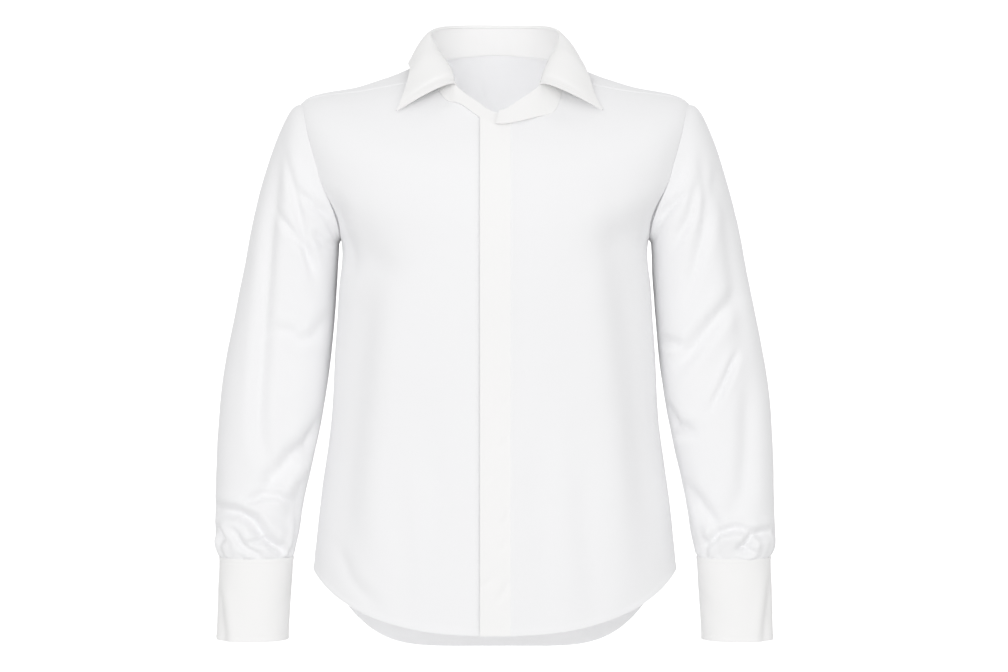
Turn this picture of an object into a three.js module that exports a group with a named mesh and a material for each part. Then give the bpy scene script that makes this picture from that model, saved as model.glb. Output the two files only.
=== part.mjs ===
// Long sleeve dress shirt, worn form with no wearer, in millimetres, +Z up.
// The front faces -Y and the wearer's left is +X. The origin is the middle of
// the neck, level with the base of the neck at the sides, where the wearer's
// shoulders hold the shirt up.
import * as THREE from 'three';

// Cloth and seams
const SEAM_GAP = 0.3;
const TRIM = 0.25;               // each seamed edge stops this far short of its seam line
const NECK_TRIM = 0.6;           // the band stops this far above the neck seam
const FLY_TOP_TRIM = 1;          // the fly stops this far below it
const HEAD_TRIM = 0.4;           // the sleeve's outer face stops this far off the armhole
const HEAD_UNDER_TRIM = 1.6;     // and its inner face, which turns a sharper corner, this far
const SHIRTING = 1.2;            // wall of the single cloth
const INTERFACED = 1.8;          // wall of collar, stand and cuffs, two layers and interfacing
const FLY = 2.2;                 // wall of the folded fly placket

// Fronts and fly
const FLY_EDGE = -17;            // free edge of the fly, just past the centre line
const FLY_SEAM = 18;             // where the fly is sewn to the wearer's left front
const UNDER_EDGE = 15;           // hidden edge of the wearer's right front
const FLY_LIFT = 0.4;            // the fly lies this far off the front below it
const UNDER_DROP = 2.6;          // the covered edge sinks this far, which leaves room for buttons
const DROP_WIDE = 7;             // over this width, just outside the fly's edge
const SEAM_RISE = 1.2;           // the wearer's left front rises this far to meet the fly
const RISE_WIDE = 26;            // over this width
const FRONT_BUTTONS = [-110, -195, -280, -365, -450, -535];
const BUTTON = { radius: 5.5, thick: 2, sides: 12 };

// Collar
const BAND_OVERLAP_END = 0.6;    // x of the wearer's left band end, which lies on top
const BAND_UNDER_END = 13;       // x of the wearer's right band end, which lies under
const BAND_LAP = 3;              // the wearer's left band end rides this far out over the right one
const BAND_TUCK = 0.6;           // which sinks this far
const LAP_ANGLES = { over: [12, 34], under: [338, 352] };
const LEAF_START = 25;           // angle where the collar leaf starts and ends
const FOLD_RISE = 8;             // how far the leaf stands up before it turns down
const FOLD_OUT = 12;             // and how far out from the band it turns
const FRONT_LOOSENESS = 1.85;    // the fold is this much rounder near the front ends
const FRONT_GAP = 2.8;           // gap between band and leaf there

// Section power of the body: a little squarer than an ellipse
const SQUARENESS = 0.8;

// One row for each section of the body, hem to shoulder. rise counts up from the hem.
const BODY = [
  { row: 'hem', rise: 0, front: -661, side: -594, back: -708, half: 222, fore: 118, aft: 106 },
  { row: 'hip', rise: 40, front: -602, side: -560, back: -636, half: 219, fore: 118, aft: 109 },
  { row: 'skirt', rise: 105, front: -512, side: -498, back: -520, half: 212, fore: 117, aft: 108 },
  { row: 'waist', rise: 185, front: -420, side: -418, back: -422, half: 201, fore: 116, aft: 104 },
  { row: 'ribs', rise: 270, front: -330, side: -330, back: -330, half: 196, fore: 119, aft: 107 },
  { row: 'chest', rise: 342, front: -260, side: -258, back: -256, half: 191.5, fore: 124, aft: 114 },
  { row: 'pit', rise: 400, front: -208, side: -190, back: -195, half: 189, fore: 127, aft: 120 },
  { row: 'scye', rise: 480, front: -165, side: -95, back: -112, half: 233, fore: 126.5, aft: 124 },
  { row: 'tip', rise: 560, front: -120, side: -24, back: -30, half: 236.5, fore: 121, aft: 115 },
  { row: 'slope', rise: 640, front: -91, side: -2, back: 9, half: 160, fore: 112, aft: 98 },
];
const NECK_RISE = 715;
const TAIL_ROWS = 3;             // rows that take the shirt-tail curve of the hem
const FRONT_TAIL = { reach: 0.8, power: 1.6, round: 0 };
const BACK_TAIL = { reach: 0.8, power: 2, round: 1 };
const TAIL_START = 0.2;

// Three curves round the neck, by angle from the centre front. seam is where the
// band meets the shirt, roll is the band's top edge, leaf is the leaf's free edge.
// The open collar has fallen a little to the wearer's left.
const COLLAR_BACK = [
  { angle: 180, seam: [0, 74, 46], roll: [0, 62, 78], leaf: [0, 87, 39] },
  { angle: 150, seam: [44, 64, 42], roll: [41, 53, 76.5], leaf: [55, 77, 38] },
  { angle: 120, seam: [76, 34, 34], roll: [68.5, 26, 70], leaf: [93, 42, 33] },
  { angle: 90, seam: [86, 0, 26], roll: [78.5, -4, 56], leaf: [106, -6, 25.5] },
];
const COLLAR_LEFT = [
  { angle: 64, seam: [81, -44, 0], roll: [74, -28, 38], leaf: [113, -44, 6] },
  { angle: 50, seam: [77, -64, -23], roll: [65, -44, 20], leaf: [118, -64, -16] },
  { angle: 38, seam: [69, -77, -41], roll: [58, -57, 2], leaf: [122, -77, -29] },
  { angle: 25, seam: [50, -86, -49], roll: [52, -68, -13], leaf: [128, -88, -42] },
  { angle: 12, seam: [26, -93, -57], roll: [30, -79, -31], leaf: [128, -88, -42] },
];
const COLLAR_RIGHT = [
  { angle: 64, seam: [76, -42, 2], roll: [69, -28, 34], leaf: [103, -44, 10] },
  { angle: 50, seam: [66, -61, -15], roll: [57, -44, 16], leaf: [107, -64, -12] },
  { angle: 38, seam: [56, -73, -28], roll: [50, -57, 1], leaf: [111, -77, -27] },
  { angle: 25, seam: [42, -81, -33], roll: [45, -68, -13], leaf: [116.5, -87, -43] },
  { angle: 12, seam: [20, -91, -49], roll: [22, -79, -31], leaf: [116.5, -87, -43] },
];
const COLLAR_FRONT = { angle: 0, seam: [0, -99, -61], roll: [4, -88, -46], leaf: [0, -97, -46] };

// Armhole, as an oval on the body: turn 0 is its top, 90 its front and 180 the underarm.
const ARMHOLE = { top: 560, bottom: 400, topAngle: 82, pitAngle: 90, front: 24, back: 32.3 };
const TURN_STEP = 15;
const FRONT_COLUMNS = 7;
const BACK_COLUMNS = 18;
const BACK_YOKE_TURN = 45;       // turn of the armhole where the back yoke seam starts
// Front yoke seam, from the armhole to the neck
const YOKE_SEAM = [
  { rise: 560, angle: 82 },
  { rise: 640, angle: 74 },
  { rise: 715, angle: 64 },
];

// Sleeve sections on the wearer's left: outer and inner edge, middle and half depth.
const SLEEVE = [
  { ring: 'cap', along: 24, outer: [250, -35], inner: [192, -196], mid: 0, deep: 68 },
  { ring: 'head', along: 48, outer: [264, -60], inner: [192.5, -203], mid: 0, deep: 69 },
  { ring: 'shoulder', along: 84, outer: [280, -105], inner: [193, -213], mid: 1, deep: 68 },
  { ring: 'upper', along: 132, outer: [296, -165], inner: [193.5, -228], mid: 2, deep: 65 },
  { ring: 'biceps', along: 185, outer: [309, -230], inner: [195, -252], mid: 3, deep: 62 },
  { ring: 'arm', along: 228, outer: [319, -280], inner: [198, -290], mid: 4, deep: 60 },
  { ring: 'above', along: 284, outer: [331, -340], inner: [203, -342], mid: 3, deep: 57 },
  { ring: 'elbow', along: 333, outer: [337, -390], inner: [209, -390], mid: -2, deep: 55 },
  { ring: 'forearm', along: 394, outer: [340, -452], inner: [220, -448], mid: -9, deep: 51 },
  { ring: 'lower', along: 455, outer: [340.5, -512], inner: [232.5, -507], mid: -18, deep: 47 },
  { ring: 'wrist', along: 494, outer: [340, -550], inner: [238.5, -546], mid: -25, deep: 44.5 },
  { ring: 'blouse', along: 510, outer: [339, -566], inner: [242, -563], mid: -28, deep: 41 },
  { ring: 'end', along: 521, outer: [334, -577], inner: [245, -577], mid: -30, deep: 36 },
];
const SLEEVE_STEPS = [0, 10, 24, 48, 84, 132, 180, 228, 270, 312, 354, 396, 436, 470, 498, 511, 521];
const SLEEVE_SQUARENESS = 0.92;
const SLEEVE_HEAD = { rise: 3, turn: -10, peak: 14, until: 46 };  // fullness past the armhole's top

// Cuff: a band wrapped round the wrist, its ends lapped on the outer side
const CUFF = [
  { ring: 'top', along: 0, outer: [334, -577.5], inner: [245, -577.5], mid: -30, deep: 36 },
  { ring: 'middle', along: 50, outer: [335, -627], inner: [247.5, -627], mid: -34, deep: 34.5 },
  { ring: 'bottom', along: 99, outer: [336, -676], inner: [250, -676], mid: -38, deep: 33.5 },
];
const CUFF_UNDER = -42;          // turn of the end that lies under
const CUFF_OVER = 352;           // turn of the end that lies over it
const CUFF_LAP = [270, 312];     // turns over which the over end rides out
const CUFF_LIFT = 2.3;
const CUFF_BUTTON_LIFT = 3.3;    // back of a cuff button, off the cloth of the under end
const CUFF_BUTTON_TURN = 335;
const CUFF_BUTTONS = [{ at: 'upper', along: 30 }, { at: 'lower', along: 70 }];

// Placket on the back of each sleeve, above the cuff
const SLEEVE_PLACKET = { turn: 330, wide: 24, from: 372, tip: 10, until: 508, lift: 0.8 };

// The largest folds, drawn on the front as lines in x and z, on the wearer's left (side 1)
// or right (side -1). sink is below the cloth, and minus is a ridge.
const FOLDS = [
  { on: 'sleeve', side: 1, from: [292, -268], to: [236, -352], wide: 15, sink: 6 },
  { on: 'sleeve', side: 1, from: [298, -345], to: [268, -400], wide: 12, sink: 5 },
  { on: 'sleeve', side: 1, from: [308, -380], to: [306, -505], wide: 16, sink: 4 },
  { on: 'sleeve', side: 1, from: [257, -548], to: [317, -553], wide: 10, sink: 5 },
  { on: 'sleeve', side: -1, from: [274, -120], to: [288, -470], wide: 24, sink: -4 },
  { on: 'sleeve', side: -1, from: [222, -428], to: [284, -496], wide: 13, sink: 6 },
  { on: 'sleeve', side: -1, from: [335, -527], to: [281, -552], wide: 9, sink: 6 },
  { on: 'sleeve', side: -1, from: [250, -120], to: [226, -215], wide: 14, sink: 5 },
  { on: 'sleeve', side: 1, from: [246, -125], to: [224, -210], wide: 14, sink: 5 },
  { on: 'body', side: 1, from: [188, -168], to: [120, -250], wide: 24, sink: 4 },
  { on: 'body', side: -1, from: [182, -190], to: [112, -262], wide: 24, sink: 4 },
];

const radians = THREE.MathUtils.degToRad;
const mix = THREE.MathUtils.lerp;
const ease = THREE.MathUtils.smoothstep;

// A smooth curve through places that are keyed by a rising number.
function through(keys, places, at) {
  const last = keys.length - 1;
  let i = 0;
  while (i < last - 1 && at > keys[i + 1]) i += 1;
  const slope = (k) => {
    const before = Math.max(k - 1, 0);
    const after = Math.min(k + 1, last);
    return places[after].clone().sub(places[before]).divideScalar(keys[after] - keys[before]);
  };
  const span = keys[i + 1] - keys[i];
  const t = (at - keys[i]) / span;
  const t2 = t * t;
  const t3 = t2 * t;
  return new THREE.Vector3()
    .addScaledVector(places[i], 2 * t3 - 3 * t2 + 1)
    .addScaledVector(slope(i), (t3 - 2 * t2 + t) * span)
    .addScaledVector(places[i + 1], 3 * t2 - 2 * t3)
    .addScaledVector(slope(i + 1), (t3 - t2) * span);
}

// |x| raised to a power, with the sign kept
function signedPower(x, power) {
  return Math.sign(x) * Math.abs(x) ** power;
}

// A closed curve round the neck from one column of the collar tables.
function neckCurve(column) {
  const row = (entry, side) => ({
    angle: side * entry.angle,
    place: new THREE.Vector3(side * entry[column][0], entry[column][1], entry[column][2]),
  });
  const back = COLLAR_BACK.filter((entry) => entry.angle < 180);
  const ring = [
    row(COLLAR_BACK[0], -1),
    ...back.map((entry) => row(entry, -1)),
    ...COLLAR_RIGHT.map((entry) => row(entry, -1)),
    row(COLLAR_FRONT, 1),
    ...COLLAR_LEFT.map((entry) => row(entry, 1)).reverse(),
    ...back.map((entry) => row(entry, 1)).reverse(),
  ];
  const turns = [-360, 0, 360].flatMap((shift) =>
    ring.map(({ angle, place }) => ({ angle: angle + shift, place })));
  const keys = turns.map((entry) => entry.angle);
  const places = turns.map((entry) => entry.place);
  return (angle) => through(keys, places, angle);
}

const seamCurve = neckCurve('seam');
const rollCurve = neckCurve('roll');
const leafCurve = neckCurve('leaf');

// Share of a tail's drop, from none at the side seam to all of it at the centre.
function tailDrop(depth, { reach, power, round }) {
  const u = THREE.MathUtils.clamp((depth - TAIL_START) / reach, 0, 1) ** power;
  return mix(u, Math.sin((Math.PI / 2) * u), round);
}

// A point of one body section.
function sectionPoint(index, angle) {
  const row = BODY[index];
  const across = signedPower(Math.sin(radians(angle)), SQUARENESS);
  const depth = signedPower(Math.cos(radians(angle)), SQUARENESS);
  const ahead = depth > 0;
  const tail = ahead ? FRONT_TAIL : BACK_TAIL;
  const share = index < TAIL_ROWS ? tailDrop(Math.abs(depth), tail) : depth * depth;
  return new THREE.Vector3(
    row.half * across,
    -depth * (ahead ? row.fore : row.aft),
    mix(row.side, ahead ? row.front : row.back, share),
  );
}

const BODY_KEYS = [...BODY.map((row) => row.rise), NECK_RISE];

// The body's outer face, with no folds.
function plainBody(angle, rise) {
  const places = BODY.map((row, index) => sectionPoint(index, angle));
  places.push(seamCurve(angle));
  return through(BODY_KEYS, places, rise);
}

// How far the listed folds sink one place of a front or sleeve.
function foldDepth(on, point, facing) {
  const side = Math.sign(point.x);
  let depth = 0;
  for (const fold of FOLDS) {
    if (fold.on === on && fold.side === side) {
      const dx = fold.to[0] - fold.from[0];
      const dz = fold.to[1] - fold.from[1];
      const px = Math.abs(point.x) - fold.from[0];
      const pz = point.z - fold.from[1];
      const length = Math.hypot(dx, dz);
      const along = (px * dx + pz * dz) / (length * length);
      const off = (px * dz - pz * dx) / length;
      const ends = ease(along, -0.15, 0.25) * (1 - ease(along, 0.75, 1.15));
      depth += fold.sink * ends * Math.exp(-((off / fold.wide) ** 2));
    }
  }
  return depth * ease(facing, 0, 0.6);
}

// Normal of a surface at a place, from two short steps along it.
function normalOf(surface, a, b, step) {
  const da = surface(a + step, b).sub(surface(a - step, b));
  const db = surface(a, b + step).sub(surface(a, b - step));
  return da.cross(db).normalize();
}

function folded(on, plain, facing) {
  return (a, b) => {
    const point = plain(a, b);
    const normal = normalOf(plain, a, b, 0.5).multiplyScalar(facing);
    return point.addScaledVector(normal, -foldDepth(on, point, -normal.y));
  };
}

const body = folded('body', plainBody, 1);

// Angle at which one body section reaches a given x near the centre front.
function angleAtX(x, rise) {
  let low = -40;
  let high = 40;
  for (let i = 0; i < 40; i += 1) {
    const middle = (low + high) / 2;
    if (plainBody(middle, rise).x < x) low = middle;
    else high = middle;
  }
  return (low + high) / 2;
}

const ARMHOLE_MIDDLE = (ARMHOLE.top + ARMHOLE.bottom) / 2;
const ARMHOLE_HALF = (ARMHOLE.top - ARMHOLE.bottom) / 2;

function armholeRise(turn) {
  return ARMHOLE_MIDDLE + ARMHOLE_HALF * Math.cos(radians(turn));
}

// Angle of the armhole on the body: turns 0 to 180 run down its front, 180 to 360 up its back.
function armholeAngle(turn) {
  const up = (1 + Math.cos(radians(turn))) / 2;
  const out = Math.sin(radians(turn));
  const reach = out > 0 ? ARMHOLE.front : ARMHOLE.back;
  return mix(ARMHOLE.pitAngle, ARMHOLE.topAngle, up) - reach * out;
}

function turnAt(rise) {
  const up = THREE.MathUtils.clamp((rise - ARMHOLE_MIDDLE) / ARMHOLE_HALF, -1, 1);
  return THREE.MathUtils.radToDeg(Math.acos(up));
}

function yokeSeamAngle(rise) {
  const keys = YOKE_SEAM.map((row) => row.rise);
  const places = YOKE_SEAM.map((row) => new THREE.Vector3(row.angle, 0, 0));
  return through(keys, places, rise).x;
}

// Outer edge of a front: side seam, then armhole, then front yoke seam.
function frontEdge(rise) {
  if (rise <= ARMHOLE.bottom) return ARMHOLE.pitAngle;
  if (rise < ARMHOLE.top) return armholeAngle(turnAt(rise));
  return yokeSeamAngle(rise);
}

// Edge of the back or yoke: side seam, then armhole, then front yoke seam.
function backEdge(rise) {
  if (rise <= ARMHOLE.bottom) return ARMHOLE.pitAngle;
  if (rise < ARMHOLE.top) return armholeAngle(360 - turnAt(rise));
  return yokeSeamAngle(rise);
}

function steps(from, to, count) {
  return Array.from({ length: count + 1 }, (_, i) => mix(from, to, i / count));
}

const TURNS_UP = steps(180, 0, 180 / TURN_STEP);
const RISES = {
  below: steps(0, ARMHOLE.bottom, 10),
  armhole: TURNS_UP.slice(1).map(armholeRise),
  shoulder: steps(ARMHOLE.top, NECK_RISE, 4).slice(1),
};
const YOKE_RISE = armholeRise(BACK_YOKE_TURN);
const FRONT_RISES = [...RISES.below, ...RISES.armhole, ...RISES.shoulder];
const BACK_RISES = FRONT_RISES.filter((rise) => rise <= YOKE_RISE + SEAM_GAP);
const YOKE_RISES = FRONT_RISES.filter((rise) => rise >= YOKE_RISE - SEAM_GAP);

// Moves the points of one edge towards their neighbours inside the piece.
function trimEdge(edge, inside, by) {
  edge.forEach((point, i) => {
    const pull = inside[i].clone().sub(point);
    if (pull.length() > by) point.add(pull.setLength(by));
  });
}

// One closed wall of cloth. grid holds rows of places on a surface. top and under give the
// offsets of its two faces along the normal. trims shortens the seamed edges.
function clothWall(name, { surface, grid, facing = 1, top, under, tube = false, trims = {} }) {
  const offset = (value, a, b) => (typeof value === 'function' ? value(a, b) : value);
  const base = grid.map((row) => row.map(([a, b]) => surface(a, b)));
  const normals = grid.map((row) => row.map(([a, b]) => normalOf(surface, a, b, 0.5).multiplyScalar(facing)));
  const rows = grid.length;
  const columns = grid[0].length;
  const lastColumn = columns - 1;
  if (trims.start) trimEdge(base[0], base[1], trims.start);
  if (trims.end) trimEdge(base[rows - 1], base[rows - 2], trims.end);
  if (trims.left) trimEdge(base.map((row) => row[0]), base.map((row) => row[1]), trims.left);
  if (trims.right) {
    trimEdge(base.map((row) => row[lastColumn]), base.map((row) => row[lastColumn - 1]), trims.right);
  }
  const face = (by) => base.map((row, i) => row.map((point, j) =>
    point.clone().addScaledVector(normals[i][j], offset(by, ...grid[i][j]))));
  const faces = [face(top), face(under)];
  if (trims.underStart) trimEdge(faces[1][0], faces[1][1], trims.underStart);
  const positions = faces.flat(2).flatMap((point) => point.toArray());
  const id = (layer, i, j) => layer * rows * columns + i * columns + (j % columns);
  const index = [];
  const quad = (a, b, c, d) => index.push(a, b, c, a, c, d);
  const spans = tube ? columns : columns - 1;
  for (let j = 0; j < spans; j += 1) {
    for (let i = 0; i + 1 < rows; i += 1) {
      quad(id(0, i, j), id(0, i, j + 1), id(0, i + 1, j + 1), id(0, i + 1, j));
      quad(id(1, i, j), id(1, i + 1, j), id(1, i + 1, j + 1), id(1, i, j + 1));
    }
    quad(id(0, 0, j), id(1, 0, j), id(1, 0, j + 1), id(0, 0, j + 1));
    quad(id(0, rows - 1, j), id(0, rows - 1, j + 1), id(1, rows - 1, j + 1), id(1, rows - 1, j));
  }
  if (!tube) {
    for (let i = 0; i + 1 < rows; i += 1) {
      quad(id(0, i, 0), id(0, i + 1, 0), id(1, i + 1, 0), id(1, i, 0));
      quad(id(0, i, lastColumn), id(1, i, lastColumn), id(1, i + 1, lastColumn), id(0, i + 1, lastColumn));
    }
  }
  return meshOf(name, positions, index);
}

// Six times the volume inside a list of triangles, minus when they face inwards
function signedVolume(positions, index) {
  const corner = (k) => new THREE.Vector3().fromArray(positions, 3 * index[k]);
  let sum = 0;
  for (let k = 0; k < index.length; k += 3) {
    sum += corner(k).dot(corner(k + 1).cross(corner(k + 2)));
  }
  return sum;
}

const shirtingWhite = () => new THREE.MeshStandardMaterial({ color: '#f4f3f1', roughness: 0.85 });
const buttonWhite = () => new THREE.MeshStandardMaterial({ color: '#f1efe9', roughness: 0.3 });

function meshOf(name, positions, index) {
  const outward = signedVolume(positions, index) > 0;
  const order = outward ? index : index.slice().reverse();
  const geometry = new THREE.BufferGeometry();
  geometry.setAttribute('position', new THREE.Float32BufferAttribute(positions, 3));
  geometry.setIndex(order);
  geometry.computeVertexNormals();
  const mesh = new THREE.Mesh(geometry, shirtingWhite());
  mesh.name = name;
  return mesh;
}

// Rows of places from edge to edge of a body panel.
function bodyGrid(rises, low, high, columns) {
  return rises.map((rise) => steps(low(rise), high(rise), columns).map((angle) => [angle, rise]));
}

// Columns of the wearer's right front, with one at each side of the step under the fly.
function rightFrontAngles(rise) {
  const step = [FLY_EDGE - DROP_WIDE, FLY_EDGE, UNDER_EDGE].map((x) => angleAtX(x, rise));
  return [...steps(-frontEdge(rise), step[0], FRONT_COLUMNS), ...step.slice(1)];
}

// The covered edge of the wearer's right front sinks under the fly.
function underFly(angle, rise) {
  const x = plainBody(angle, rise).x;
  return -UNDER_DROP * ease(x, FLY_EDGE - DROP_WIDE, FLY_EDGE);
}

// The wearer's left front rises a little to meet the fly.
function besideFly(angle, rise) {
  const x = plainBody(angle, rise).x;
  return SEAM_RISE * (1 - ease(x, FLY_SEAM, FLY_SEAM + RISE_WIDE));
}

function fronts() {
  const edges = { left: TRIM, right: TRIM, end: TRIM };
  const right = clothWall('right_front', {
    surface: body,
    grid: FRONT_RISES.map((rise) => rightFrontAngles(rise).map((angle) => [angle, rise])),
    top: underFly,
    under: (a, b) => underFly(a, b) - SHIRTING,
    trims: { left: TRIM, end: TRIM },
  });
  const left = clothWall('left_front', {
    surface: body,
    grid: bodyGrid(FRONT_RISES, (rise) => angleAtX(FLY_SEAM, rise), frontEdge, FRONT_COLUMNS),
    top: besideFly,
    under: (a, b) => besideFly(a, b) - SHIRTING,
    trims: edges,
  });
  const fly = clothWall('fly_placket', {
    surface: body,
    grid: bodyGrid(FRONT_RISES, (rise) => angleAtX(FLY_EDGE, rise), (rise) => angleAtX(FLY_SEAM, rise), 2),
    top: FLY_LIFT + FLY,
    under: FLY_LIFT,
    trims: { right: TRIM, end: FLY_TOP_TRIM },
  });
  return [right, left, fly];
}

function backAndYoke() {
  const far = (rise) => 360 - backEdge(rise);
  const back = clothWall('back', {
    surface: body,
    grid: bodyGrid(BACK_RISES, backEdge, far, BACK_COLUMNS),
    top: 0,
    under: -SHIRTING,
    trims: { left: TRIM, right: TRIM, end: TRIM },
  });
  const yoke = clothWall('yoke', {
    surface: body,
    grid: bodyGrid(YOKE_RISES, backEdge, far, BACK_COLUMNS),
    top: 0,
    under: -SHIRTING,
    trims: { start: TRIM, left: TRIM, right: TRIM, end: TRIM },
  });
  return [back, yoke];
}

// Stand: rises straight from the neck seam to the roll line.
function bandSurface(angle, percent) {
  return seamCurve(angle).lerp(rollCurve(angle), percent / 100);
}

// Lap of the band ends: the wearer's left end rides out over the right one.
function bandLap(angle) {
  const over = 1 - ease(angle, ...LAP_ANGLES.over);
  const under = ease(angle, ...LAP_ANGLES.under);
  return BAND_LAP * over - BAND_TUCK * under;
}

function bandAngle(x) {
  let low = -30;
  let high = 30;
  for (let i = 0; i < 40; i += 1) {
    const middle = (low + high) / 2;
    if (seamCurve(middle).x < x) low = middle;
    else high = middle;
  }
  return (low + high) / 2;
}

// Angles of the neck seam, matched to the columns of the fronts and the yoke.
function neckAngles() {
  const yokeStart = yokeSeamAngle(NECK_RISE);
  const leftStart = angleAtX(FLY_SEAM, NECK_RISE);
  const left = steps(leftStart, yokeStart, FRONT_COLUMNS);
  const around = steps(yokeStart, 360 - yokeStart, BACK_COLUMNS).slice(1);
  const right = rightFrontAngles(NECK_RISE).slice(1, -1).map((angle) => 360 + angle);
  return [bandAngle(BAND_OVERLAP_END), ...left, ...around, ...right, 360 + bandAngle(BAND_UNDER_END)];
}

function stand() {
  return clothWall('collar_stand', {
    surface: bandSurface,
    grid: [0, 50, 100].map((percent) => neckAngles().map((angle) => [angle, percent])),
    top: (angle) => bandLap(angle) + INTERFACED,
    under: bandLap,
    trims: { start: NECK_TRIM },
  });
}

// Leaf: stands up from the roll line, turns over and falls to its free edge.
function leafSurface(angle, percent) {
  const roll = rollCurve(angle);
  const up = roll.clone().sub(seamCurve(angle)).normalize();
  const edge = leafCurve(angle);
  const out = rollCurve(angle + 1).sub(rollCurve(angle - 1)).cross(up).normalize();
  const fromBack = Math.abs(180 - angle);
  const loose = mix(1, FRONT_LOOSENESS, ease(fromBack, 80, 125));
  const start = roll.clone().addScaledVector(up, mix(SEAM_GAP, FRONT_GAP, ease(fromBack, 80, 100)));
  const rise = start.clone().addScaledVector(up, FOLD_RISE * loose);
  const over = roll.clone().addScaledVector(out, FOLD_OUT * loose);
  over.addScaledVector(up, 0.7 * FOLD_RISE * loose);
  const curve = new THREE.CubicBezierCurve3(start, rise, over, edge);
  return curve.getPoint(percent / 100);
}

// The leaf keeps the band's columns, from its one end to the other.
function leafAngles() {
  const inside = neckAngles().filter((angle) => angle > LEAF_START + 2 && angle < 358 - LEAF_START);
  return [LEAF_START, ...inside, 360 - LEAF_START];
}

function leaf() {
  return clothWall('collar_leaf', {
    surface: leafSurface,
    grid: [0, 12, 28, 50, 75, 100].map((percent) =>
      leafAngles().map((angle) => [angle, percent])),
    facing: -1,
    top: 0,
    under: -INTERFACED,
  });
}

// A point of a ring given by its outer and inner edge, as far round as turn.
function ringPoint(ring, turn) {
  const across = signedPower(Math.cos(radians(turn)), SLEEVE_SQUARENESS);
  const ahead = signedPower(Math.sin(radians(turn)), SLEEVE_SQUARENESS);
  const outer = new THREE.Vector3(ring.outer[0], 0, ring.outer[1]);
  const inner = new THREE.Vector3(ring.inner[0], 0, ring.inner[1]);
  const point = inner.lerp(outer, (1 + across) / 2);
  point.y = ring.mid - ring.deep * ahead;
  return point;
}

function mirrored(surface, side) {
  return (a, b) => {
    const point = surface(a, b);
    point.x *= side;
    return point;
  };
}

const SLEEVE_KEYS = [0, ...SLEEVE.map((ring) => ring.along)];
const CUFF_KEYS = CUFF.map((ring) => ring.along);

function plainSleeve(turn, along) {
  const places = SLEEVE.map((ring) => ringPoint(ring, turn));
  places.unshift(plainBody(armholeAngle(((turn % 360) + 360) % 360), armholeRise(turn)));
  const point = through(SLEEVE_KEYS, places, along);
  const { rise, turn: middle, peak, until } = SLEEVE_HEAD;
  const top = Math.max(Math.cos(radians(turn - middle)), 0) ** 2;
  point.z += rise * top * ease(along, 0, peak) * (1 - ease(along, peak, until));
  return point;
}

function cuffSurface(turn, along) {
  return through(CUFF_KEYS, CUFF.map((ring) => ringPoint(ring, turn)), along);
}

function sleeve(name, side) {
  const turns = steps(0, 360, 360 / TURN_STEP).slice(0, -1);
  return clothWall(name, {
    surface: folded('sleeve', mirrored(plainSleeve, side), side),
    grid: SLEEVE_STEPS.map((along) => turns.map((turn) => [turn, along])),
    facing: side,
    top: 0,
    under: -SHIRTING,
    tube: true,
    trims: { start: HEAD_TRIM, underStart: HEAD_UNDER_TRIM },
  });
}

// The cuff's over end rides out to clear the end below it.
function cuffLift(turn) {
  return CUFF_LIFT * ease(turn, ...CUFF_LAP);
}

function cuff(name, side) {
  const turns = steps(CUFF_UNDER, CUFF_OVER, 26);
  return clothWall(name, {
    surface: mirrored(cuffSurface, side),
    grid: [0, 33, 66, 99].map((along) => turns.map((turn) => [turn, along])),
    facing: side,
    top: cuffLift,
    under: (turn) => cuffLift(turn) - INTERFACED,
  });
}

// Placket strip: a row of places down its middle, with its edges a set width apart.
function sleevePlacket(name, side) {
  const surface = folded('sleeve', mirrored(plainSleeve, side), side);
  const { turn, wide, from, tip, until, lift } = SLEEVE_PLACKET;
  const rows = [from, from + tip, ...steps(from + tip, until, 7).slice(1)];
  const widthAt = (along) => (along === from ? wide * 0.2 : wide);
  const grid = rows.map((along) => {
    const ahead = plainSleeve(turn + 1, along).distanceTo(plainSleeve(turn, along));
    const half = widthAt(along) / 2 / ahead;
    return steps(turn - half, turn + half, 2).map((place) => [place, along]);
  });
  return clothWall(name, {
    surface,
    grid,
    facing: side,
    top: lift + INTERFACED,
    under: lift,
  });
}

// A flat button on a place of a surface, its back a little off the cloth.
function button(name, place, normal, off) {
  const geometry = new THREE.CylinderGeometry(BUTTON.radius, BUTTON.radius, BUTTON.thick, BUTTON.sides);
  const mesh = new THREE.Mesh(geometry, buttonWhite());
  mesh.position.copy(place).addScaledVector(normal, off + BUTTON.thick / 2);
  mesh.quaternion.setFromUnitVectors(new THREE.Vector3(0, 1, 0), normal);
  mesh.name = name;
  return mesh;
}

// Rise at which the centre front has a given height.
function riseAtHeight(z) {
  let low = 0;
  let high = NECK_RISE;
  for (let i = 0; i < 40; i += 1) {
    const middle = (low + high) / 2;
    if (plainBody(0, middle).z < z) low = middle;
    else high = middle;
  }
  return (low + high) / 2;
}

function frontButtons() {
  return FRONT_BUTTONS.map((z, i) => {
    const rise = riseAtHeight(z);
    const normal = normalOf(body, 0, rise, 0.5);
    return button(`front_button_${i + 1}`, body(0, rise), normal, -UNDER_DROP + SEAM_GAP);
  });
}

function cuffButtons(side, word) {
  const surface = mirrored(cuffSurface, side);
  return CUFF_BUTTONS.map(({ at, along }) => {
    const normal = normalOf(surface, CUFF_BUTTON_TURN, along, 0.5).multiplyScalar(side);
    return button(`cuff_button_${word}_${at}`, surface(CUFF_BUTTON_TURN, along), normal, CUFF_BUTTON_LIFT);
  });
}

const shirt = new THREE.Group();
shirt.add(...fronts(), ...backAndYoke(), stand(), leaf());
for (const [word, side] of [['left', 1], ['right', -1]]) {
  shirt.add(sleeve(`sleeve_${word}`, side));
  shirt.add(cuff(`cuff_${word}`, side));
  shirt.add(sleevePlacket(`sleeve_placket_${word}`, side));
  shirt.add(...cuffButtons(side, word));
}
shirt.add(...frontButtons());

export default shirt;
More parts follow.
